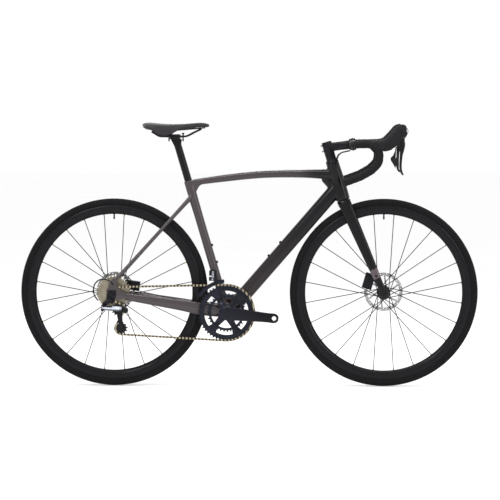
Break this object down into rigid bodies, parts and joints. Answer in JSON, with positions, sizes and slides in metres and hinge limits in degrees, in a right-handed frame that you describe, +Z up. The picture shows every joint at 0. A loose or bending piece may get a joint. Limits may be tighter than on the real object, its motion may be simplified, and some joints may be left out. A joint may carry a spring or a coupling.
{
  "type": "road bicycle",
  "caption": "Drop-bar road bicycle with disc brakes, spoked wheels, steering fork, geared chain drive and sprung shift and brake levers.",
  "frame": {"origin": "on the ground under the middle of the wheelbase, in the plane of symmetry of the frame", "axes": "+X forwards, +Y to the rider's left, +Z up; the drive side is at -Y"},
  "size_m": [1.6572, 0.456, 0.955],
  "materials": {
    "carbon_graphite": "satin metallic paint over carbon composite",
    "carbon_black": "satin black paint over carbon composite",
    "black_alloy": "satin black anodised",
    "rim_black": "satin black anodised",
    "dark_grey_alloy": "dark blue-grey gloss anodised",
    "silver_steel": "bright brushed",
    "spoke_steel": "dark drawn steel",
    "champagne_steel": "nickel plated",
    "chain_steel": "gold-silver plated",
    "silver_alloy": "bright anodised",
    "tyre_rubber": "matte",
    "hood_rubber": "matte, fine textured",
    "bar_tape": "matte embossed wrap",
    "black_plastic": "moulded",
    "saddle_cover": "matte synthetic leather",
    "bearing_steel": "ground",
    "cable_sheath": "satin sheath"
  },
  "bodies": {
    "frame": {"head_tube": "carbon_black", "top_tube": "carbon_graphite", "down_tube": "carbon_black", "seat_tube": "carbon_graphite", "bottom_bracket_shell": "carbon_graphite", "rear_stays": "carbon_graphite", "derailleur_hanger": "black_alloy", "rear_thru_axle": "black_alloy", "frame_bearings": "bearing_steel", "bottle_bolts": "black_alloy", "front_derailleur_body": "black_alloy", "rear_brake_caliper": "black_alloy", "rear_shift_housing": "cable_sheath", "chain": "chain_steel"},
    "seatpost_and_saddle": {"seatpost": "carbon_black", "saddle_clamp": "black_alloy", "saddle_rails": "silver_steel", "saddle_shell": "black_plastic", "saddle_cover": "saddle_cover"},
    "steering": {"fork": "carbon_black", "front_thru_axle": "black_alloy", "headset_spacers": "black_alloy", "stem": "black_alloy", "stem_faceplate": "black_alloy", "handlebar": "black_alloy", "bar_tape": "bar_tape", "brake_hoods": "hood_rubber", "front_brake_caliper": "black_alloy", "control_cables": "cable_sheath"},
    "left_lever_block": {"left_lever_pivot": "black_alloy"},
    "left_lever": {"left_brake_lever": "black_alloy"},
    "left_paddle": {"left_shift_paddle": "black_plastic"},
    "right_lever_block": {"right_lever_pivot": "black_alloy"},
    "right_lever": {"right_brake_lever": "black_alloy"},
    "right_paddle": {"right_shift_paddle": "black_plastic"},
    "front_wheel": {"front_tyre": "tyre_rubber", "front_rim": "rim_black", "front_spokes": "spoke_steel", "front_hub": "black_alloy", "front_brake_rotor": "silver_steel"},
    "sprockets": {"cassette": "champagne_steel", "freehub_body": "bearing_steel"},
    "rear_wheel": {"rear_tyre": "tyre_rubber", "rear_rim": "rim_black", "rear_spokes": "spoke_steel", "rear_hub": "black_alloy", "rear_brake_rotor": "silver_steel"},
    "crankset": {"crankset_right": "black_alloy", "crank_arm_left": "black_alloy", "large_chainring": "dark_grey_alloy", "small_chainring": "dark_grey_alloy", "chainring_bolts": "dark_grey_alloy"},
    "derailleur_base": {"rear_derailleur_b_knuckle": "black_alloy"},
    "derailleur_link": {"rear_derailleur_link": "silver_alloy"},
    "derailleur_knuckle": {"rear_derailleur_p_knuckle": "black_alloy"},
    "derailleur_cage": {"derailleur_cage": "silver_alloy"},
    "guide_wheel": {"guide_pulley": "black_plastic"},
    "tension_wheel": {"tension_pulley": "black_plastic"},
    "front_changer_link": {"front_derailleur_link": "black_alloy"},
    "front_changer_cage": {"front_derailleur_cage": "silver_steel"}
  },
  "joints": [
    {"name": "seatpost_height", "type": "slide", "parent": "frame", "child": "seatpost_and_saddle", "axis": [-0.2823, 0, 0.9593], "range_m": [-0.06, 0.04]},
    {"name": "steering_turn", "type": "hinge", "parent": "frame", "child": "steering", "pos_m": [0.32306, 0, 0.74], "axis": [-0.2857, 0, 0.9583], "range_deg": [-60, 60]},
    {"name": "front_wheel_spin", "type": "hinge", "parent": "steering", "child": "front_wheel", "pos_m": [0.4886, 0, 0.34], "axis": [0, 1, 0], "continuous": true},
    {"name": "crank_spin", "type": "hinge", "parent": "frame", "child": "crankset", "pos_m": [-0.079, 0, 0.269], "axis": [0, 1, 0], "continuous": true, "deforming": ["chain"]},
    {"name": "sprocket_spin", "type": "hinge", "parent": "frame", "child": "sprockets", "pos_m": [-0.4886, 0, 0.34], "axis": [0, 1, 0], "continuous": true},
    {"name": "rear_wheel_spin", "type": "hinge", "parent": "sprockets", "child": "rear_wheel", "pos_m": [-0.4886, 0, 0.34], "axis": [0, 1, 0], "continuous": true},
    {"name": "left_brake_pull", "type": "hinge", "parent": "steering", "child": "left_lever_block", "pos_m": [0.5528, 0.212, 0.9135], "axis": [0, 1, 0], "range_deg": [0, 15], "stiffness_Nm_per_rad": 2, "springref_deg": -11.46},
    {"name": "left_shift_swing", "type": "hinge", "parent": "left_lever_block", "child": "left_lever", "pos_m": [0.5528, 0.212, 0.9067], "axis": [-1, 0, 0], "range_deg": [0, 12], "stiffness_Nm_per_rad": 1, "springref_deg": -11.46},
    {"name": "left_paddle_swing", "type": "hinge", "parent": "left_lever", "child": "left_paddle", "pos_m": [0.542, 0.212, 0.858], "axis": [-1, 0, 0], "range_deg": [0, 8], "stiffness_Nm_per_rad": 0.2, "springref_deg": -17.19},
    {"name": "right_brake_pull", "type": "hinge", "parent": "steering", "child": "right_lever_block", "pos_m": [0.5528, -0.212, 0.9135], "axis": [0, 1, 0], "range_deg": [0, 15], "stiffness_Nm_per_rad": 2, "springref_deg": -11.46},
    {"name": "right_shift_swing", "type": "hinge", "parent": "right_lever_block", "child": "right_lever", "pos_m": [0.5528, -0.212, 0.9067], "axis": [1, 0, 0], "range_deg": [0, 12], "stiffness_Nm_per_rad": 1, "springref_deg": -11.46},
    {"name": "right_paddle_swing", "type": "hinge", "parent": "right_lever", "child": "right_paddle", "pos_m": [0.542, -0.212, 0.858], "axis": [1, 0, 0], "range_deg": [0, 8], "stiffness_Nm_per_rad": 0.2, "springref_deg": -17.19},
    {"name": "derailleur_base_swing", "type": "hinge", "parent": "frame", "child": "derailleur_base", "pos_m": [-0.499, -0.089, 0.315], "axis": [0, 1, 0], "range_deg": [0, 12], "stiffness_Nm_per_rad": 6, "springref_deg": -17.19},
    {"name": "derailleur_shift", "type": "hinge", "parent": "derailleur_base", "child": "derailleur_link", "pos_m": [-0.524, -0.088, 0.289], "axis": [0, 0.66, 0.7513], "range_deg": [0, 40], "stiffness_Nm_per_rad": 2, "springref_deg": -28.65},
    {"name": "derailleur_shift_follow", "type": "hinge", "parent": "derailleur_link", "child": "derailleur_knuckle", "pos_m": [-0.458, -0.088, 0.285], "axis": [0, 0.66, 0.7513], "range_deg": [-40, 0]},
    {"name": "derailleur_cage_swing", "type": "hinge", "parent": "derailleur_knuckle", "child": "derailleur_cage", "pos_m": [-0.442, -0.0715, 0.28], "axis": [0, 1, 0], "range_deg": [-40, 25], "stiffness_Nm_per_rad": 1.5},
    {"name": "guide_wheel_spin", "type": "hinge", "parent": "derailleur_cage", "child": "guide_wheel", "pos_m": [-0.47, -0.066, 0.281], "axis": [0, 1, 0], "continuous": true},
    {"name": "tension_wheel_spin", "type": "hinge", "parent": "derailleur_cage", "child": "tension_wheel", "pos_m": [-0.45843, -0.066, 0.214], "axis": [0, 1, 0], "continuous": true},
    {"name": "front_changer_shift", "type": "hinge", "parent": "frame", "child": "front_changer_link", "pos_m": [-0.128, -0.036, 0.415], "axis": [1, 0, 0], "range_deg": [0, 18], "stiffness_Nm_per_rad": 2, "springref_deg": -17.19},
    {"name": "front_changer_follow", "type": "hinge", "parent": "front_changer_link", "child": "front_changer_cage", "pos_m": [-0.128, -0.0475, 0.396], "axis": [1, 0, 0], "range_deg": [-18, 0]}
  ],
  "couplings": [
    {"joint": "sprocket_spin", "follows": "crank_spin", "ratio": 4.5455},
    {"joint": "guide_wheel_spin", "follows": "crank_spin", "ratio": -4.5455},
    {"joint": "tension_wheel_spin", "follows": "crank_spin", "ratio": 4.5455},
    {"joint": "derailleur_shift_follow", "follows": "derailleur_shift", "ratio": -1},
    {"joint": "front_changer_follow", "follows": "front_changer_shift", "ratio": -1}
  ]
}
